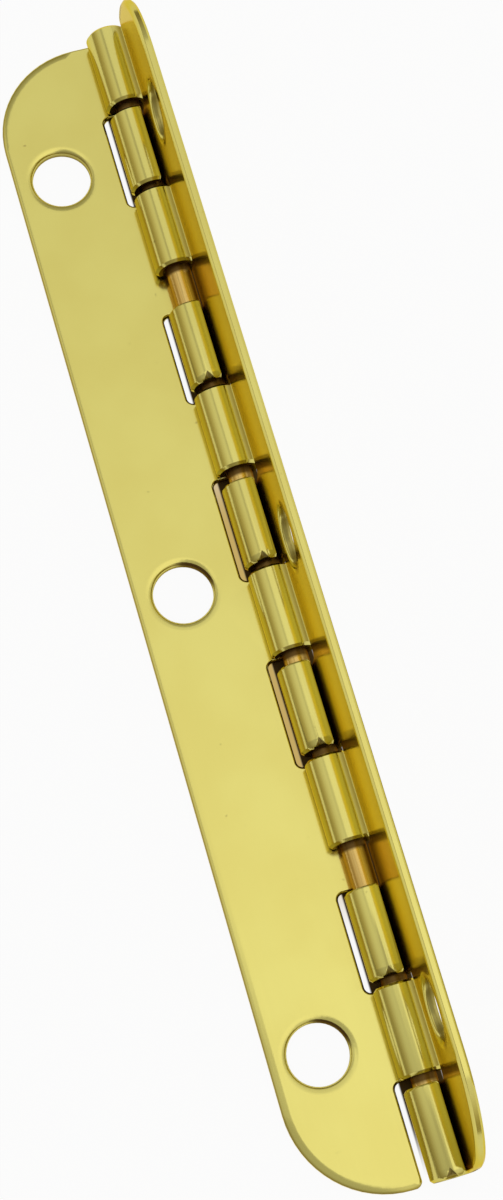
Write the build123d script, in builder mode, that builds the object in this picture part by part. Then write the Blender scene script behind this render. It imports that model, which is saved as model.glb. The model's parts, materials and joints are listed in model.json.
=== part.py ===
"""Oval decorative hinge: two stamped leaves with rolled knuckles on one wire pin, opened to a right angle."""
import os
from math import asin, cos, degrees, radians, sin

from build123d import *

os.makedirs("parts", exist_ok=True)

# Driving dimensions, in millimetres
leaf_length = 65.0
leaf_reach = 7.2  # pin axis to the long outer edge of a leaf
end_radius = 5.2  # round outer corners, which make the opened hinge oval
sheet = 0.5
edge_break = 0.14  # small bevel that stamping and plating leave on the sheet's edges
knuckle_bore = 1.4
roll_gap = 0.2  # free end of a roll to the face of its own leaf

# Gaps between neighbouring knuckles, counted from either end to the middle
outer_gap = 0.53
second_gap = 0.39
window_gap = 2.41  # the two wide gaps that show the pin
fourth_gap = 0.42
fifth_gap = 0.77
middle_gap = 0.35

# Edge of the leaf beside the barrel
slot_clearance = 0.25  # leaf edge to the knuckle that turns beside it
slot_corner = 0.35
tongue_setback = 0.2  # pin axis to the end of the short tongue beside the bare pin
tongue_clearance = 0.2  # tongue to the end of the next knuckle

# Screw holes
hole_diameter = 3.2
hole_pitch = 24.9
hole_inset = 2.58  # long outer edge to the row of holes

# Pin
pin_clearance = 0.03  # radial, in the knuckles
pin_recess = 0.2  # each pin end, inside the barrel
pin_chamfer = 0.12

rest_turn = 90.0  # degrees that the swinging leaf stands up from flat

# Worked out from the dimensions above
bore_radius = knuckle_bore / 2
knuckle_radius = bore_radius + sheet
roll_turn = 270 + degrees(asin((bore_radius - roll_gap) / knuckle_radius))
pin_radius = bore_radius - pin_clearance
pin_length = leaf_length - 2 * pin_recess
hole_offset = leaf_reach - hole_inset  # pin axis to the row of holes
slot_edge = knuckle_radius + slot_clearance
plate_width = leaf_reach - slot_edge
corner_radius = min(end_radius, plate_width - slot_corner)
tongue_length = window_gap - tongue_clearance

# Knuckles run from the +Y end; every second one belongs to the leaf, the others to the leaf that meets it
half_gaps = [outer_gap, second_gap, window_gap, fourth_gap, fifth_gap]
knuckle_gaps = half_gaps + [middle_gap] + half_gaps[::-1]
knuckle_count = len(knuckle_gaps) + 1
knuckle_length = (leaf_length - sum(knuckle_gaps)) / knuckle_count
knuckle_starts = []
for index in range(knuckle_count):
    passed = index * knuckle_length + sum(knuckle_gaps[:index])
    knuckle_starts.append(leaf_length / 2 - passed)
own_starts = knuckle_starts[0::2]

# A tongue follows each of the leaf's own knuckles that has a wide gap after it
tongue_starts = [
    knuckle_starts[index] - knuckle_length
    for index in range(0, knuckle_count - 1, 2)
    if knuckle_gaps[index] == window_gap
]


def rolled_leaf():
    """One leaf about the pin axis, which runs along Y: the plate lies towards -X, the knuckles curl over the pin."""
    with BuildPart() as leaf:
        # Flat blank: plate, tabs that run into the knuckles, and tongues under the bare pin
        with BuildSketch(Plane.XY.offset(-knuckle_radius)) as blank:
            with Locations((-leaf_reach, 0)):
                Rectangle(plate_width, leaf_length, align=(Align.MIN, Align.CENTER))
            fillet(blank.vertices().group_by(Axis.X)[0], corner_radius)
            with Locations(*[(-slot_edge, start) for start in own_starts]):
                Rectangle(slot_edge, knuckle_length, align=(Align.MIN, Align.MAX))
            with Locations(*[(-slot_edge, start) for start in tongue_starts]):
                Rectangle(slot_edge - tongue_setback, tongue_length, align=(Align.MIN, Align.MAX))
            fillet(blank.vertices().filter_by_position(Axis.X, -slot_edge, -slot_edge), slot_corner)
            with Locations((-hole_offset, 0)):
                with GridLocations(0, hole_pitch, 1, 3):
                    Circle(hole_diameter / 2, mode=Mode.SUBTRACT)
        extrude(amount=sheet)

        # Knuckles: each tab curls up round the pin, until its free end comes down towards the leaf's face
        for start in own_starts:
            with BuildSketch(Plane(origin=(0, start, 0), x_dir=(1, 0, 0), z_dir=(0, -1, 0))):
                with BuildLine():
                    outside = CenterArc((0, 0), knuckle_radius, 270, roll_turn)
                    inside = CenterArc((0, 0), bore_radius, 270, roll_turn)
                    Line(outside @ 0, inside @ 0)
                    Line(outside @ 1, inside @ 1)
                make_face()
            extrude(amount=knuckle_length)

        # Stamped edges are broken on both faces, but the holes only at the front, where the screw heads sit.
        # The lines at the pin, where the tabs run into their knuckles, are no edges and are left out.
        back_face, front_face = leaf.faces().filter_by(Plane.XY).sort_by(Axis.Z)[:2]
        stamped_edges = back_face.outer_wire().edges() + front_face.edges()
        chamfer(stamped_edges.filter_by_position(Axis.X, -leaf_reach, -edge_break / 2), edge_break)
    return leaf.part


leaf_shape = rolled_leaf()
pin_centre = (hole_offset, 0, knuckle_radius)

# Fixed leaf: its back on the XY plane, the middle screw hole at the origin
fixed_plane = Plane(origin=pin_centre, x_dir=(1, 0, 0), z_dir=(0, 0, 1))
fixed_shape = fixed_plane.location * leaf_shape
with BuildPart() as fixed_leaf:
    add(fixed_shape)
fixed_leaf.part.label = "fixed_leaf"
export_step(fixed_leaf.part, "parts/fixed_leaf.step")

# Swinging leaf: the same leaf turned end for end, so that its knuckles fall between the others, and stood up
turn = radians(rest_turn)
swing_plane = Plane(origin=pin_centre, x_dir=(-cos(turn), 0, -sin(turn)), z_dir=(-sin(turn), 0, cos(turn)))
swing_shape = swing_plane.location * leaf_shape
with BuildPart() as swing_leaf:
    add(swing_shape)
swing_leaf.part.label = "swing_leaf"
export_step(swing_leaf.part, "parts/swing_leaf.step")

# Pin: a straight wire through all the knuckles
with BuildPart() as hinge_pin:
    with BuildSketch(Plane(origin=pin_centre, x_dir=(1, 0, 0), z_dir=(0, 1, 0))):
        Circle(pin_radius)
    extrude(amount=pin_length / 2, both=True)
    chamfer(hinge_pin.edges().filter_by(GeomType.CIRCLE), pin_chamfer)
hinge_pin.part.label = "hinge_pin"
export_step(hinge_pin.part, "parts/hinge_pin.step")
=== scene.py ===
# %% [markdown]
# # A small oval hinge in bright brass plating
#
# The object is a stamped hinge for a box or a cabinet: two thin sheet leaves with round outer corners,
# tabs that were rolled into knuckles, and one wire pin through all of them. It stands open at a right
# angle, with one leaf flat on the table and the other upright.
#
# The solids come from the construction model and set every size. This lesson dresses them: it merges and
# softens their meshes, gives them a mirror-bright plating, and lights them as a catalogue picture would.

# %% The frame
import json
from math import cos, pi, radians, sin

import bmesh
import bpy
from mathutils import Matrix, Vector

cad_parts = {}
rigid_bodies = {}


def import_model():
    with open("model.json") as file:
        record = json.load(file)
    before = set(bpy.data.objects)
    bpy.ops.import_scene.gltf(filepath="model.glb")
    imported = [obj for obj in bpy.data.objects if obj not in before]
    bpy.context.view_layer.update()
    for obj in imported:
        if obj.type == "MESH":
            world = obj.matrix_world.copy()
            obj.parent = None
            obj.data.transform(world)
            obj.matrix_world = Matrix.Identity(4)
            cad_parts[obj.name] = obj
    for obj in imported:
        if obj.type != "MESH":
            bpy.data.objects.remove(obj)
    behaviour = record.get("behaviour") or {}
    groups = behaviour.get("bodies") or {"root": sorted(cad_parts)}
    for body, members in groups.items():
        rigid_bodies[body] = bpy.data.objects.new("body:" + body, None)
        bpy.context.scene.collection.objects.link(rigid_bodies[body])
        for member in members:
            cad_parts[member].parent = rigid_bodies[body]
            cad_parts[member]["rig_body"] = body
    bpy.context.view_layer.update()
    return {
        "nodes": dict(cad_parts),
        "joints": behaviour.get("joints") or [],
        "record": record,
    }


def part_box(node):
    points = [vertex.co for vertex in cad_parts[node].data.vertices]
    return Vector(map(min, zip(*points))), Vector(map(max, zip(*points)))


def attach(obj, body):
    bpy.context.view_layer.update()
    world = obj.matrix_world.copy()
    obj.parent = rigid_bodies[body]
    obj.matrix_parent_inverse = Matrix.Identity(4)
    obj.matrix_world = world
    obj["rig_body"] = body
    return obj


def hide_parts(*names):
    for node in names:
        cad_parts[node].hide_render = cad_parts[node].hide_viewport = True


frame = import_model()
scene = bpy.context.scene
millimetre = 0.001

hinge_joint = frame["joints"][0]
pin_axis = Vector(hinge_joint["pos_m"])
print("nodes", sorted(frame["nodes"]), "pin axis at", tuple(pin_axis))

# %% [markdown]
# ## The camera
#
# The picture looks down on the flat leaf from a little to the left of the hinge and from below its middle,
# so the upright leaf is seen almost edge on. A camera can be turned by three angles, but a place to stand,
# a point to look at and a lean of the frame are easier to read and to change.

# %% Camera
camera_place = Vector((-13.32, -36.3, 123.47)) * millimetre
camera_target = Vector((3.43, -1.14, 0.0)) * millimetre
frame_lean = radians(16.15)  # how far the top of the picture leans from the pin
sensor_width = 36.0  # along the longer side of the picture, in millimetres as the focal length is
focal_length = 73.58
nearest_seen = 5.0 * millimetre

camera_back = (camera_place - camera_target).normalized()
leaning_up = Vector((sin(frame_lean), cos(frame_lean), 0.0))
camera_right = leaning_up.cross(camera_back).normalized()
camera_up = camera_back.cross(camera_right)
camera_turn = Matrix((camera_right, camera_up, camera_back)).transposed()

camera_data = bpy.data.cameras.new("picture_camera")
camera_data.sensor_width = sensor_width
camera_data.lens = focal_length
camera_data.clip_start = nearest_seen
camera = bpy.data.objects.new("picture_camera", camera_data)
camera.matrix_world = Matrix.Translation(camera_place) @ camera_turn.to_4x4()
scene.collection.objects.link(camera)
scene.camera = camera
print("camera stands", round(camera_place.length / millimetre), "mm from the middle screw hole")

# %% [markdown]
# ## Shader expressions
#
# A finish is a small formula over the surface: a colour here, a little more roughness there. Written as
# nodes and links, the formula is hard to read. So one class wraps a socket, and plain Python operators on it
# add the Math nodes. Their reflected forms let a number stand first, and the bar takes the larger of two.


# %% Shade
class Shade:
    """A number that changes over a surface: one output socket that can be used in an expression."""

    def __init__(self, finish, socket):
        self.finish = finish
        self.socket = socket

    def math(self, operation, first, second):
        return self.finish.node("ShaderNodeMath", {"operation": operation}, {0: first, 1: second})

    def __add__(self, other):
        return self.math("ADD", self, other)

    def __radd__(self, other):
        return self.math("ADD", other, self)

    def __sub__(self, other):
        return self.math("SUBTRACT", self, other)

    def __rsub__(self, other):
        return self.math("SUBTRACT", other, self)

    def __mul__(self, other):
        return self.math("MULTIPLY", self, other)

    def __rmul__(self, other):
        return self.math("MULTIPLY", other, self)

    def __or__(self, other):
        return self.math("MAXIMUM", self, other)


print("shader expressions ready")

# %% [markdown]
# ## Node trees
#
# Materials and the world keep their nodes in the same kind of tree. Adding, setting and linking each node on
# lines of its own would fill pages. One method takes a node's kind, its settings and its sockets instead, and
# the few others are short names for nodes that come up again and again.


# %% Finish
class Finish:
    """The node tree of a material or of the world, cleared, with one way to add a node."""

    def __init__(self, owner):
        owner.use_nodes = True
        self.tree = owner.node_tree
        self.tree.nodes.clear()

    def node(self, kind, settings=None, sockets=None, output=0):
        """Adds a node: its settings first, then a value or a link on each named socket."""
        node = self.tree.nodes.new(kind)
        for name, value in (settings or {}).items():
            setattr(node, name, value)
        for name, value in (sockets or {}).items():
            if isinstance(value, Shade):
                self.tree.links.new(value.socket, node.inputs[name])
            else:
                node.inputs[name].default_value = value
        if not node.outputs:
            return node
        return Shade(self, node.outputs[output])

    def blend(self, amount, first, second):
        """A colour that goes from the first to the second with the amount."""
        colours = {"Factor": amount, 6: first, 7: second}
        return self.node("ShaderNodeMix", {"data_type": "RGBA"}, colours, output=2)

    def spread(self, value, low, high, to_low=0.0, to_high=1.0):
        """The value from low to high, stretched smoothly to a new range."""
        limits = {"Value": value, "From Min": low, "From Max": high, "To Min": to_low, "To Max": to_high}
        return self.node("ShaderNodeMapRange", {"interpolation_type": "SMOOTHSTEP"}, limits)

    def parts(self, vector, *axes):
        """The numbers that a vector has along the named axes."""
        return [self.node("ShaderNodeSeparateXYZ", None, {0: vector}, output=axis) for axis in axes]

    def rays(self):
        """Three numbers, each 1 or 0: seen by the camera, mirrored in metal, seen through glass."""
        kinds = ("Is Camera Ray", "Is Glossy Ray", "Is Transmission Ray")
        return [self.node("ShaderNodeLightPath", output=kind) for kind in kinds]


def colour(red, green, blue):
    """A colour as sockets take it, with nothing see-through."""
    return (red, green, blue, 1.0)


white = colour(1.0, 1.0, 1.0)
print("node trees ready")

# %% [markdown]
# ## Table
#
# Polished metal has hardly a colour of its own: it shows what stands around it. So the room is part of the
# finish, and it comes before the metal. The hinge lies on a white table. One large flat face would do while
# the hinge stands at rest, but opened past flat its upright leaf dips below the other one. So the table has a
# step under the barrel, like the edge of the box that such a hinge is screwed to. Two extrusions of one edge
# make it, and white on white it can't be seen.

# %% Table
table_size = 3.0
table_drop = 0.02 * millimetre  # below the leaf's back, so that the two faces don't coincide
step_gap = 0.05 * millimetre  # between the step and the barrel, seen from above
step_room = 0.3 * millimetre  # below the lowest point of the opened leaf

barrel_radius = pin_axis.z
past_flat = radians(hinge_joint["range_deg"][1] - 90.0)
leaf_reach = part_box("swing_leaf")[1].z - pin_axis.z
leaf_dip = leaf_reach * sin(past_flat) + barrel_radius * cos(past_flat) - pin_axis.z
step_place = pin_axis.x + barrel_radius + step_gap
step_height = leaf_dip + step_room

table_shape = bmesh.new()
bmesh.ops.create_grid(table_shape, x_segments=1, y_segments=1, size=table_size / 2)
table_shift = (step_place - table_size / 2, 0.0, -table_drop)
bmesh.ops.translate(table_shape, verts=table_shape.verts, vec=table_shift)
rim = [max(table_shape.edges, key=lambda edge: edge.verts[0].co.x + edge.verts[1].co.x)]
for move in ((0.0, 0.0, -step_height), (table_size, 0.0, 0.0)):
    grown = bmesh.ops.extrude_edge_only(table_shape, edges=rim)["geom"]
    corners = [part for part in grown if isinstance(part, bmesh.types.BMVert)]
    bmesh.ops.translate(table_shape, verts=corners, vec=move)
    rim = [edge for edge in table_shape.edges if all(corner in corners for corner in edge.verts)]
table_mesh = bpy.data.meshes.new("table")
table_shape.to_mesh(table_mesh)
table_shape.free()
table = bpy.data.objects.new("table", table_mesh)
scene.collection.objects.link(table)
print("table with a step of", round(step_height / millimetre, 2), "mm")

# %% [markdown]
# ## Paper near the barrel
#
# White paper covers the table, and two things colour it close to the barrel. Right under the barrel it gets
# no light and stays dark. Beside the middle knuckles it lies between two walls of brass that colour each
# other, and shows warm through the slots. The paper is going to glow, and a glow knows no shadow, so both are
# drawn as patches with soft edges, measured from the pin.

# %% Paper patches
barrel_half_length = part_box("hinge_pin")[1].y
shade_edge = 0.9  # the shade under the barrel fades out from this share of its size
barrel_shade = colour(0.10, 0.06, 0.02)
matt_white = colour(0.85, 0.85, 0.85)
warm_shade = colour(0.58, 0.41, 0.13)
warm_near, warm_wide = 1.3 * barrel_radius, 1.9 * barrel_radius
warm_centre = -5.0 * millimetre
warm_full, warm_end = 8.0 * millimetre, 15.0 * millimetre

paper = bpy.data.materials.new("white_paper")
paper_finish = Finish(paper)
spot = paper_finish.node("ShaderNodeTexCoord", output="Object")
spot_x, spot_y = paper_finish.parts(spot, "X", "Y")
aside = spot_x - pin_axis.x
along = spot_y - warm_centre
beside = paper_finish.spread(aside * aside, (shade_edge * barrel_radius) ** 2, barrel_radius ** 2)
beyond = paper_finish.spread(spot_y * spot_y, (shade_edge * barrel_half_length) ** 2, barrel_half_length ** 2)
lit = beside | beyond
cool_left = paper_finish.spread(aside * aside, warm_near ** 2, warm_wide ** 2)
cool_right = paper_finish.spread(aside, 0.0, barrel_radius / 2)
cool_along = paper_finish.spread(along * along, warm_full ** 2, warm_end ** 2)
paper_tint = paper_finish.blend(cool_left | cool_right | cool_along, warm_shade, white)
paper_tone = paper_finish.blend(lit, barrel_shade, matt_white)
print("paper dark under a barrel", round(2 * barrel_radius / millimetre, 2), "mm across")

# %% [markdown]
# ## White paper
#
# A matt white face comes out grey under soft light. More light would burn out the metal, so the paper glows
# for the eye instead, less so for reflections, and the rest of it stays matt and takes the hinge's shadow.
# Where the paper is in the dark, it doesn't glow.

# %% Paper
table_glow = 0.94
mirrored_glow = 0.6  # metal shows the table less bright than the eye sees it

seen, mirrored, passed = paper_finish.rays()
brightness = (seen | passed) * table_glow | mirrored * mirrored_glow
matt = paper_finish.node("ShaderNodeBsdfDiffuse", None, {"Color": paper_tone})
glow = paper_finish.node("ShaderNodeEmission", None, {"Color": paper_tint, "Strength": 1.0})
paper_look = paper_finish.node("ShaderNodeMixShader", None, {0: brightness * lit, 1: matt, 2: glow})
paper_finish.node("ShaderNodeOutputMaterial", None, {"Surface": paper_look})
table_mesh.materials.append(paper)
print("paper glows", table_glow, "for the eye and", mirrored_glow, "for the metal")

# %% [markdown]
# ## Surround
#
# The bands on a rolled knuckle are a picture of the room: bright overhead, dim and warm near the horizon. A
# world colour that depends on direction draws that room without building it. It is dimmer towards the far end
# overhead, which shades the flat leaf along its length, and in the near left corner. The eye itself sees a
# plain white backdrop, and metal sees a little of it too.

# %% Surround
horizon_level, zenith_level = 0.30, 0.76
horizon_tint = colour(1.0, 0.83, 0.40)
rise_span = (0.05, 0.85)  # how far up the room turns from dim to bright, where 1 is straight up
far_level = 0.56  # share of the light that is left at the far end of the room
far_span = (0.0, 0.5)  # from right overhead towards the far end
overhead_span = (0.06, 0.3)  # squared distance to the side at which the far end is no longer dimmer
corner_level = 0.6  # share of the light in the near left corner, where the camera stands in it
corner_far, corner_right = (0.02, 0.16), (-0.06, 0.06)  # where that corner ends
mirrored_backdrop = 0.06  # share of the white backdrop that the metal shows

world = bpy.data.worlds.new("studio")
scene.world = world
surround = Finish(world)
direction = surround.node("ShaderNodeTexCoord", output="Generated")
sideways, away, upwards = surround.parts(direction, "X", "Y", "Z")
rise = surround.spread(upwards, *rise_span)
overhead_fall = surround.spread(away, *far_span, 1.0, far_level)
fall = overhead_fall | surround.spread(sideways * sideways, *overhead_span)
clear = surround.spread(away, *corner_far) | surround.spread(sideways, *corner_right)
corner_fall = corner_level + clear * (1.0 - corner_level)
level = (horizon_level + rise * (zenith_level - horizon_level)) * fall * corner_fall
room_tint = surround.blend(rise, horizon_tint, white)
room = surround.node("ShaderNodeBackground", None, {"Color": room_tint, "Strength": level})
backdrop = surround.node("ShaderNodeBackground", None, {"Color": white, "Strength": 1.0})
eye, mirror, glass = surround.rays()
surround_mix = {0: eye | glass | mirror * mirrored_backdrop, 1: room, 2: backdrop}
surround_look = surround.node("ShaderNodeMixShader", None, surround_mix)
surround.node("ShaderNodeOutputWorld", None, {"Surface": surround_look})
print("surround from", horizon_level, "to", zenith_level)

# %% [markdown]
# ## Soft light
#
# A softbox overhead puts the long highlight on the knuckles. Two area lamps side by side make it L-shaped,
# so the near left corner of the room stays free. Their strength is given as the brightness of their face,
# because that is what a mirror shows, and it keeps its look when a lamp is made larger. The Standard view
# shows colours as they were written.

# %% Soft light
softbox_height = 0.40
softbox_radiance = 0.34
softboxes = {
    "softbox_right": {"x": (0.0, 0.24), "y": (-0.20, 0.34)},
    "softbox_left": {"x": (-0.16, 0.0), "y": (0.025, 0.34)},
}

for name, span in softboxes.items():
    (left, right), (near, far) = span["x"], span["y"]
    lamp = bpy.data.lights.new(name, "AREA")
    lamp.shape = "RECTANGLE"
    lamp.size = right - left
    lamp.size_y = far - near
    lamp.energy = softbox_radiance * pi * lamp.size * lamp.size_y
    softbox = bpy.data.objects.new(name, lamp)
    softbox.location = ((left + right) / 2, (near + far) / 2, softbox_height)
    scene.collection.objects.link(softbox)
    print(name, "power", round(lamp.energy, 3), "W")
scene.view_settings.view_transform = "Standard"

# %% [markdown]
# ## Brass plating
#
# The leaves are stamped from sheet and then plated bright, so the colour is a clear, slightly green yellow
# and the surface is close to a mirror. A flat colour would look like plastic. Real plating is a little
# cloudy, has fine lines along the rolling direction of the sheet and a few dark specks. Where little light
# gets in, a painted shade turns it dark brown and rougher, and an attribute on the mesh says where that is.
# Seen at a glancing angle the metal turns a deeper gold, which the tint of its edge reflection gives.

# %% Plating
plating_light = colour(0.78, 0.70, 0.20)
plating_deep = colour(0.75, 0.66, 0.18)
plating_glance = colour(0.98, 0.80, 0.28)
# the dark brown of the painted shade where little light gets in, used for the dark specks too
shade_and_speck_brown = colour(0.13, 0.075, 0.02)
# the mesh attribute that marks the painted shade, where the metal is also rougher
shade_attribute = "in_shade"
cloud_scale = 160.0  # clouds about 6 mm across
cloud_span = (0.35, 0.65)  # where most of the noise lies
rolling_scale = (9000.0, 160.0, 9000.0)  # fine across the sheet, drawn out along it
rolling_relief = 0.02  # how strongly the lines tilt the gloss
rolling_depth = 0.02 * millimetre
speck_scale = 1700.0
speck_span = (0.76, 0.84)  # only the peaks of the noise are specks
speck_darkness = 0.4
plating_roughness = 0.12
cloud_roughness, rolling_roughness, dull_roughness = 0.05, 0.05, 0.25


def brass_plating():
    """Bright plating with clouds, rolling lines and specks, and a painted shade of dark brown where the mesh
    marks it.
    """
    material = bpy.data.materials.new("brass_plating")
    finish = Finish(material)
    place = finish.node("ShaderNodeTexCoord", output="Object")
    drawn_out = finish.node("ShaderNodeMapping", None, {"Vector": place, "Scale": rolling_scale})
    cloud = finish.node("ShaderNodeTexNoise", None, {"Vector": place, "Scale": cloud_scale, "Detail": 3.0})
    lines = finish.node("ShaderNodeTexNoise", None, {"Vector": drawn_out, "Scale": 1.0, "Detail": 2.0})
    grit = finish.node("ShaderNodeTexNoise", None, {"Vector": place, "Scale": speck_scale, "Detail": 1.0})
    # where the mesh marks painted shade
    in_shade = finish.node("ShaderNodeAttribute", {"attribute_name": shade_attribute}, output="Fac")
    specks = finish.spread(grit, *speck_span, 0.0, speck_darkness)
    plated = finish.blend(finish.spread(cloud, *cloud_span), plating_deep, plating_light)
    gloss = plating_roughness + cloud * cloud_roughness + lines * rolling_roughness
    relief = {"Height": lines, "Strength": rolling_relief, "Distance": rolling_depth}
    sockets = {
        # painted shade and the dark specks darken the plating
        "Base Color": finish.blend(in_shade | specks, plated, shade_and_speck_brown),
        "Metallic": 1.0,
        "Roughness": gloss + in_shade * dull_roughness,
        "Normal": finish.node("ShaderNodeBump", None, relief),
        "Specular Tint": plating_glance,
    }
    look = finish.node("ShaderNodeBsdfPrincipled", None, sockets)
    finish.node("ShaderNodeOutputMaterial", None, {"Surface": look})
    return material


plating = brass_plating()
print(plating.name, "has", len(plating.node_tree.nodes), "nodes")

# %% [markdown]
# ## Pin wire
#
# The pin is drawn wire with a coppery coat. Drawing leaves fine lines along it. It shows bright only in the
# two wide gaps of the barrel: in the narrow gaps grease and a painted shade, where little light gets in,
# make it nearly as dark as the painted shade of the bores. That could be a second material, but the
# attribute that marks the painted shade of the brass can mark it too, with soft borders.

# %% Wire
wire_light = colour(0.86, 0.60, 0.19)
wire_deep = colour(0.74, 0.49, 0.14)
wire_glance = colour(0.55, 0.32, 0.12)
# grease and the painted shade of the gaps, where little light gets in
grease_and_shade_brown = colour(0.10, 0.045, 0.008)
drawing_scale = (12000.0, 300.0, 12000.0)  # fine round the wire, drawn out along it
drawing_span = (0.3, 0.7)  # where most of the noise lies
wire_roughness = 0.18
drawing_roughness, grease_roughness = 0.12, 0.2


def copper_wire():
    """Drawn wire with fine lines along it, dark with grease and painted shade where the mesh marks the gaps.
    """
    material = bpy.data.materials.new("copper_wire")
    finish = Finish(material)
    place = finish.node("ShaderNodeTexCoord", output="Object")
    drawn_out = finish.node("ShaderNodeMapping", None, {"Vector": place, "Scale": drawing_scale})
    lines = finish.node("ShaderNodeTexNoise", None, {"Vector": drawn_out, "Scale": 1.0, "Detail": 3.0})
    # where the mesh marks grease and painted shade
    grease_and_shade_mask = finish.node("ShaderNodeAttribute", {"attribute_name": shade_attribute}, output="Fac")
    drawn = finish.blend(finish.spread(lines, *drawing_span), wire_deep, wire_light)
    sockets = {
        "Base Color": finish.blend(grease_and_shade_mask, drawn, grease_and_shade_brown),
        "Metallic": 1.0,
        "Roughness": wire_roughness + lines * drawing_roughness + grease_and_shade_mask * grease_roughness,
        "Specular Tint": wire_glance,
    }
    look = finish.node("ShaderNodeBsdfPrincipled", None, sockets)
    finish.node("ShaderNodeOutputMaterial", None, {"Surface": look})
    return material


wire = copper_wire()
print(wire.name, "has", len(wire.node_tree.nodes), "nodes")

# %% [markdown]
# ## From solid to piece
#
# A solid arrives as loose triangles with hard edges. Merging the doubles joins them, and dissolving the
# edges between coplanar triangles gives back the flat faces of the sheet. A small bevel on what is still
# sharp, such as the ends of the knuckles, catches the light as a tumbled edge does.

# %% Dressed copies
merge_distance = 0.0005 * millimetre
flat_angle = radians(0.4)
sharp_angle = radians(60.0)
smooth_angle = radians(40.0)
edge_round = 0.05 * millimetre


def merged_solid(node):
    """The solid's shape with its triangles joined and its flat faces whole again."""
    shape = bmesh.new()
    shape.from_mesh(frame["nodes"][node].data)
    bmesh.ops.remove_doubles(shape, verts=shape.verts, dist=merge_distance)
    bmesh.ops.dissolve_limit(shape, angle_limit=flat_angle, verts=shape.verts, edges=shape.edges)
    return shape


def soften(shape):
    """Rounds the outer edges that are still sharp."""
    sharp = [edge for edge in shape.edges if edge.is_manifold and edge.calc_face_angle_signed() > sharp_angle]
    bmesh.ops.bevel(
        shape, geom=sharp, offset=edge_round, offset_type="OFFSET", segments=3, profile=0.5,
        affect="EDGES", clamp_overlap=True, material=-1,
    )


def finished_piece(shape, node, name):
    """Turns a shape into a piece that stands for the solid and moves with it."""
    mesh = bpy.data.meshes.new(name)
    shape.to_mesh(mesh)
    shape.free()
    mesh.materials.clear()
    mesh.shade_smooth()
    mesh.set_sharp_from_angle(angle=smooth_angle)
    piece = bpy.data.objects.new(name, mesh)
    scene.collection.objects.link(piece)
    steady = piece.modifiers.new("steady_normals", "WEIGHTED_NORMAL")
    steady.keep_sharp = True
    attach(piece, frame["nodes"][node]["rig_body"])
    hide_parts(node)
    return piece


print("merging finer than", merge_distance, "m")

# %% [markdown]
# ## Round corners
#
# At the end where a leaf has no knuckle, its outline turns a corner beside the barrel. The die rounds that
# corner. The solid leaves it sharp, with one upright edge and two short slanted ones where the bevels of both
# faces meet, so a bevel along these three edges is enough.

# %% Corners
half_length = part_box("fixed_leaf")[1].y
corner_round = 0.30 * millimetre
corner_angle = radians(55.0)
barrel_limit = barrel_radius + 0.02 * millimetre  # the barrel lies within this distance from the pin's axis
corner_limit = 2.1 * millimetre  # and the corner within this one


def from_pin(place):
    """How far a point lies from the axis of the pin."""
    return Vector((place.x - pin_axis.x, place.z - pin_axis.z)).length


def round_corner(shape):
    """Rounds the corner of a leaf's outline beside the barrel."""
    corner = []
    for edge in shape.edges:
        middle = (edge.verts[0].co + edge.verts[1].co) / 2
        at_end = half_length - abs(middle.y) < corner_round
        at_barrel = barrel_limit < from_pin(middle) < corner_limit
        if at_end and at_barrel and edge.calc_face_angle_signed(0.0) > corner_angle:
            corner.append(edge)
    bmesh.ops.bevel(
        shape, geom=corner, offset=corner_round, offset_type="OFFSET", segments=6, profile=0.5,
        affect="EDGES", clamp_overlap=True, material=-1,
    )
    return len(corner)


print("corners round to", round(corner_round / millimetre, 2), "mm")

# %% [markdown]
# ## Die roll
#
# Before a punch cuts, it drags the face of the sheet down a little. So the front of a stamped leaf isn't flat
# to its very edge: a narrow band along the outline and round the holes leans over, and shows as a thin line
# in the gloss. A wide bevel would eat the edge away. An inset gives the band its own width instead, and only
# the outer row of its points moves. Beside the barrel, where the tabs were bent after the cut, the band is
# dissolved into the flat face again.

# %% Die roll
mounts = {mount["name"]: mount for mount in frame["record"]["mounts"]}
sheet = mounts["fixed_leaf_middle_hole"]["dims"]["length_mm"] * millimetre
front_facing = 0.999  # a face that turns this far to the front is the flat front itself
roll_width = 0.30 * millimetre
roll_drop = 0.02 * millimetre
roll_start = 1.5 * barrel_radius  # the edges close to the barrel stay as they are


def above_back(place, mount):
    """How far a point lies in front of its leaf's back."""
    return (place - Vector(mount["pos_m"])).dot(Vector(mount["axis"]))


def roll_edges(shape, mount):
    """Leans the rim of a leaf's front face over, along the stamped outline and round the holes."""
    outwards = Vector(mount["axis"])
    front = []
    for face in shape.faces:
        at_front = abs(above_back(face.calc_center_median(), mount) - sheet) < merge_distance
        if at_front and face.normal.dot(outwards) > front_facing:
            front.append(face)
    outline = set()
    for face in front:
        for edge in face.edges:
            if any(other not in front for other in edge.link_faces):
                outline.update(edge.verts)
    band = bmesh.ops.inset_region(
        shape, faces=front, thickness=roll_width, use_boundary=True, use_even_offset=True,
    )["faces"]
    for point in outline:
        if from_pin(point.co) > roll_start:
            point.co -= outwards * roll_drop
    flat = set(front)
    kept_flat = {face for face in band if from_pin(face.calc_center_median()) < roll_start + roll_width / 2}
    seams = []
    for edge in shape.edges:
        touches_band = any(face in kept_flat for face in edge.link_faces)
        if touches_band and all(face in kept_flat or face in flat for face in edge.link_faces):
            seams.append(edge)
    bmesh.ops.dissolve_edges(shape, edges=seams, use_verts=True)
    return len(outline)


print("roll", round(roll_width / millimetre, 2), "mm wide")

# %% [markdown]
# ## Gloss over the edge
#
# Plating fills small edges, so the gloss of the front runs on over the bevels of the outline without a break.
# A larger angle for smooth shading would also smear the walls of the sheet. So only the edges that lie on the
# front, at its full height or at the drop of the die roll, are made smooth again.


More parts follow.
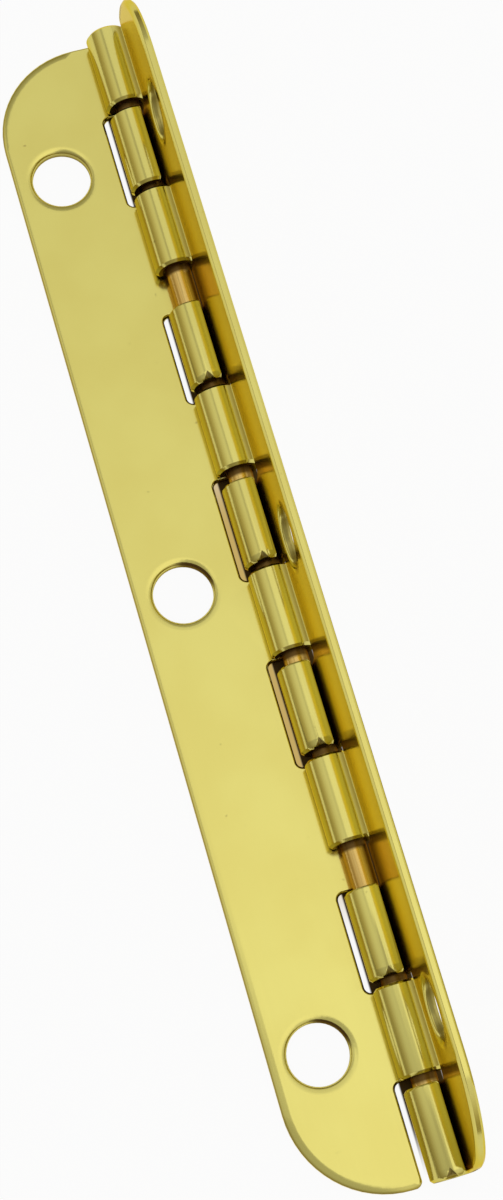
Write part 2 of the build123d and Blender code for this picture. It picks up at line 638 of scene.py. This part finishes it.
# %% Gloss
def join_gloss(piece, mount):
    """Lets the gloss of a leaf's front run on over the small bevels of its outline."""
    mesh = piece.data
    for edge in mesh.edges:
        drops = [sheet - above_back(mesh.vertices[end].co, mount) for end in edge.vertices]
        if all(abs(drop) < merge_distance or abs(drop - roll_drop) < merge_distance for drop in drops):
            edge.use_edge_sharp = False


print("gloss joins edges down to", round(roll_drop / millimetre, 2), "mm below the front")

# %% [markdown]
# ## Knuckle ends
#
# The next steps need to know where each knuckle begins and ends along the pin. The places could be written
# down as numbers, but the gaps between the knuckles differ, and the list would be wrong after any change. The
# square ends of the knuckles look straight along the pin, so the places are read from those faces.

# %% Knuckle ends
square_facing = 0.99  # a face that turns this far along the pin is a square end


def knuckle_ends(node):
    """Where a leaf's knuckles begin and end along the pin, read from their square ends."""
    stations = set()
    for face in frame["nodes"][node].data.polygons:
        on_roll = face.center.z > pin_axis.z and face.center.x < pin_axis.x
        if on_roll and abs(face.normal.y) > square_facing and from_pin(face.center) < barrel_limit:
            stations.add(round(face.center.y, 6))
    return sorted(stations)


swing_ends = knuckle_ends("swing_leaf")
knuckle_length = swing_ends[1] - swing_ends[0]
print(len(swing_ends) // 2, "knuckles on the upright leaf,", round(knuckle_length / millimetre, 2), "mm long")

# %% [markdown]
# ## Stake marks
#
# A small punch dents the upright leaf's knuckles at one end, which pinches the pin and keeps it in. Each dent
# is a triangle with its base on the knuckle's end. Four cuts through its tip draw it on the rolled faces, and
# then its points move towards the pin: the more, the nearer they lie to the middle of the base.

# %% Stake marks
pin_low, pin_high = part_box("hinge_pin")
pin_radius = (pin_high.x - pin_low.x) / 2
mark_length = 0.48 * millimetre
mark_half_width = 0.30 * millimetre
mark_depth = 0.24 * millimetre
mark_middle = pin_axis.x - 0.24 * millimetre
marked_radius = pin_radius + 0.15 * millimetre  # what lies further in is no longer the outside of a knuckle


def mark_share(place, station):
    """How deep a point lies in the mark at a knuckle's end: 1 at the middle of its base, 0 outside it."""
    if place.z < pin_axis.z or from_pin(place) < marked_radius or place.y < station - merge_distance:
        return 0.0
    across_mark = abs(place.x - mark_middle) / mark_half_width
    along_mark = (place.y - station) / mark_length
    return max(0.0, 1.0 - across_mark - along_mark)


def stake(shape, station):
    """Presses one mark into the end of a knuckle."""
    tip = Vector((mark_middle, station + mark_length, 0.0))
    cuts = [
        (Vector((0.0, 1.0, 0.0)), knuckle_length),  # round the knuckle, at the tip
        (Vector((mark_length, -mark_half_width, 0.0)), mark_length),  # one side of the triangle
        (Vector((mark_length, mark_half_width, 0.0)), mark_length),  # its other side
        (Vector((1.0, 0.0, 0.0)), mark_length),  # its middle line
    ]
    for across, reach in cuts:
        cut_parts = set()
        for face in shape.faces:
            place = face.calc_center_median()
            on_top = place.z > pin_axis.z and from_pin(place) > marked_radius
            close = abs(place.x - mark_middle) < 2 * mark_half_width and 0.0 < place.y - station < reach
            if on_top and close:
                cut_parts.update([face], face.edges, face.verts)
        bmesh.ops.bisect_plane(
            shape, geom=list(cut_parts), dist=merge_distance, plane_co=tip, plane_no=across.normalized(),
        )
    for point in shape.verts:
        inwards = Vector((pin_axis.x - point.co.x, 0.0, pin_axis.z - point.co.z)).normalized()
        point.co += inwards * mark_depth * mark_share(point.co, station)


staked_ends = swing_ends[0:-2:2]  # all but the last knuckle
print(len(staked_ends), "knuckles to stake")

# %% [markdown]
# ## Painted shade
#
# Little light gets into the bores, onto the knuckle ends, into the stake marks and onto the walls of the
# holes, and one side of a hole's rim shows dark. These places get a painted shade: dark brown and rougher. A
# pattern in the material couldn't follow these places. So each face corner gets its own share of painted
# shade, and a dark wall stays sharp against a bright face, which one value per point would blur.

# %% Painted shade
hole_radius = mounts["fixed_leaf_screws"]["dims"]["hole_r_mm"] * millimetre
hole_pitch = mounts["fixed_leaf_screws"]["dims"]["spacing_y_mm"] * millimetre / 2
wall_margin = 0.03 * millimetre
rim_margin = 0.12 * millimetre
wall_facing, rim_facing = 0.3, 0.9  # a hole's wall and rim turn no further to the front than this
end_facing = 0.95  # a knuckle's end turns at least this far along the pin
bore_limit = pin_radius + 0.06 * millimetre
# painted shade on the knuckle ends and in the stake marks, where little light gets in
end_shade = 0.8
mark_shade = 0.75
crescent_side = Vector((0.72, 0.69, 0.0))  # the side of a hole's rim that gets a painted dark crescent
crescent_span = (0.62, 0.85)  # the painted dark on the rim goes from none to full between these, where 1 is right on that side
# How much painted shade a hole's wall has at the front and at the back, and how dark the painted crescent on
# the rim of the near, middle and far hole is
hole_shade = {
    "fixed_leaf": {"front": 0.0, "back": 0.9, "crescent": {-1: 1.0, 0: 1.0, 1: 0.3}},
    "swing_leaf": {"front": 0.5, "back": 0.5, "crescent": {-1: 0.0, 0: 0.0, 1: 0.0}},
}


def share(value, start, stop):
    """How far a value has come from start to stop, from 0 to 1."""
    return max(0.0, min(1.0, (value - start) / (stop - start)))


def hole_offset(place, mount):
    """Where a point lies from the axis of the nearest screw hole, and which of the three holes that is."""
    hole_axis = Vector(mount["axis"])
    offset = place - Vector(mount["pos_m"])
    hole = round(offset.y / hole_pitch)
    offset.y -= hole_pitch * hole
    return offset - hole_axis * offset.dot(hole_axis), hole


def wall_shade(place, mount, shade_levels):
    """How much painted shade a hole's wall has at a point, from the front of the leaf to its back."""
    depth = share(sheet - above_back(place, mount), 0.0, sheet)
    return shade_levels["front"] + (shade_levels["back"] - shade_levels["front"]) * depth


def rim_shade(place, mount, shade_levels):
    """How much painted dark a hole's rim has at a point, by how near that lies to the side that gets it."""
    offset, hole = hole_offset(place, mount)
    return shade_levels["crescent"][hole] * share(offset.normalized().dot(crescent_side), *crescent_span)


print("holes", round(2 * hole_radius / millimetre, 2), "mm across")

# %% [markdown]
# ## Marking the mesh
#
# Which place a face belongs to shows from where it lies and how it is turned. A person would select the faces
# by hand. Tests on the distance to the nearest hole and to the pin find them again after any change of size.


# %% Marks
def mark_painted_shade(piece, mount, shade_levels, marked_ends):
    """Marks the painted shade: on hole walls, on one side of the hole rims, in bores, on knuckle ends and in
    stake marks.
    """
    mesh = piece.data
    outwards = Vector(mount["axis"])
    values = [0.0] * len(mesh.loops)
    for face in mesh.polygons:
        from_hole = hole_offset(face.center, mount)[0].length
        facing = abs(face.normal.dot(outwards))
        is_wall = facing < wall_facing and from_hole < hole_radius + wall_margin
        is_rim = facing < rim_facing and from_hole < hole_radius + rim_margin
        is_end = abs(face.normal.y) > end_facing and from_pin(face.center) < barrel_limit
        is_bore = from_pin(face.center) < bore_limit
        is_mark = any(mark_share(face.center, station) > 0.0 for station in marked_ends)
        for corner in face.loop_indices:
            place = mesh.vertices[mesh.loops[corner].vertex_index].co
            # painted shade where little light gets in: walls, rims, knuckle ends, stake marks and bores
            if is_wall:
                values[corner] = wall_shade(place, mount, shade_levels)
            if is_rim:
                values[corner] = max(values[corner], rim_shade(place, mount, shade_levels))
            if is_end:
                values[corner] = end_shade
            if is_mark:
                values[corner] = mark_shade
            if is_bore:
                values[corner] = 1.0
    layer = mesh.attributes.new(shade_attribute, "FLOAT", "CORNER")
    layer.data.foreach_set("value", values)
    return sum(1 for value in values if value > 0.0)


print("bores are dull up to", round(bore_limit / millimetre, 2), "mm from the pin's axis")

# %% [markdown]
# ## The two leaves
#
# Both leaves are the same stamping, so one could be a turned copy of the other. But the upright one also has
# stake marks, and its holes look different. So each is made from its own solid by the same steps, in the
# order of the press: corner, die roll, a softened edge, and stake marks. The plating comes last.

# %% Leaves
for node in ("fixed_leaf", "swing_leaf"):
    mount = mounts[node + "_screws"]
    leaf_shape = merged_solid(node)
    corner_edges = round_corner(leaf_shape)
    rolled_points = roll_edges(leaf_shape, mount)
    soften(leaf_shape)
    marked_ends = staked_ends if node == "swing_leaf" else []
    for station in marked_ends:
        stake(leaf_shape, station)
    leaf = finished_piece(leaf_shape, node, node + "_plated")
    join_gloss(leaf, mount)
    shaded_corners = mark_painted_shade(leaf, mount, hole_shade[node], marked_ends)
    leaf.data.materials.append(plating)
    print(leaf.name, len(leaf.data.polygons), "faces,", corner_edges, "corner edges rounded")
    print(leaf.name, rolled_points, "points on the rolled outline,", shaded_corners, "dull face corners")

# %% [markdown]
# ## The pin
#
# The pin is one straight wire. Where it is greasy and gets painted shade can't be told from its own form,
# only from the knuckles, so rings are cut into it at the knuckle ends and just short of them. A finer mesh
# all along the wire would do as well, but rings put the points exactly where the grease and painted shade
# begin and end.

# %% Pin
grease_and_shade_full = 0.30 * millimetre  # from the far knuckle's end
grease_and_shade_end = 0.46 * millimetre

stations = sorted(knuckle_ends("fixed_leaf") + swing_ends)
gaps = list(zip(stations[1::2], stations[2::2]))
rings = list(stations)
for near_end, far_end in gaps:
    rings += [far_end - reach for reach in (grease_and_shade_full, grease_and_shade_end) if far_end - reach > near_end]
pin_shape = merged_solid("hinge_pin")
for ring in rings:
    everything = pin_shape.verts[:] + pin_shape.edges[:] + pin_shape.faces[:]
    bmesh.ops.bisect_plane(pin_shape, geom=everything, plane_co=(0.0, ring, 0.0), plane_no=(0.0, 1.0, 0.0))
soften(pin_shape)
pin = finished_piece(pin_shape, "hinge_pin", "hinge_pin_drawn")
print(pin.name, len(pin.data.polygons), "faces,", len(gaps), "gaps")

# %% [markdown]
# ## Painted shade and grease on the pin
#
# The points of the rings carry the grease and the painted shade. They fill the narrow gaps. In a wide gap the
# wire stays bright but for the part close to the far knuckle and its side under the upright leaf, which get
# painted shade. The values belong to face corners again, so the dark can end sharply at a knuckle and softly
# within a gap.

# %% Painted shade and grease
grease_and_shade = 0.88  # how dark the pin is where grease and painted shade lie
bright_side = 0.2  # share of the pin's radius up to which its side stays bright, without painted shade

# grease and painted shade on the pin, one value per face corner
grease_and_shade_values = [grease_and_shade] * len(pin.data.loops)
for face in pin.data.polygons:
    for near_end, far_end in gaps:
        if near_end < face.center.y < far_end:
            for corner in face.loop_indices:
                place = pin.data.vertices[pin.data.loops[corner].vertex_index].co
                by_far_knuckle = 1.0 - share(far_end - place.y, grease_and_shade_full, grease_and_shade_end)
                shaded = share((place.x - pin_axis.x) / pin_radius, bright_side, 1.0)
                grease_and_shade_values[corner] = grease_and_shade * max(by_far_knuckle, shaded)
layer = pin.data.attributes.new(shade_attribute, "FLOAT", "CORNER")
layer.data.foreach_set("value", grease_and_shade_values)
pin.data.materials.append(wire)
print(sum(1 for value in grease_and_shade_values if value < grease_and_shade), "of", len(grease_and_shade_values), "face corners are cleaner")
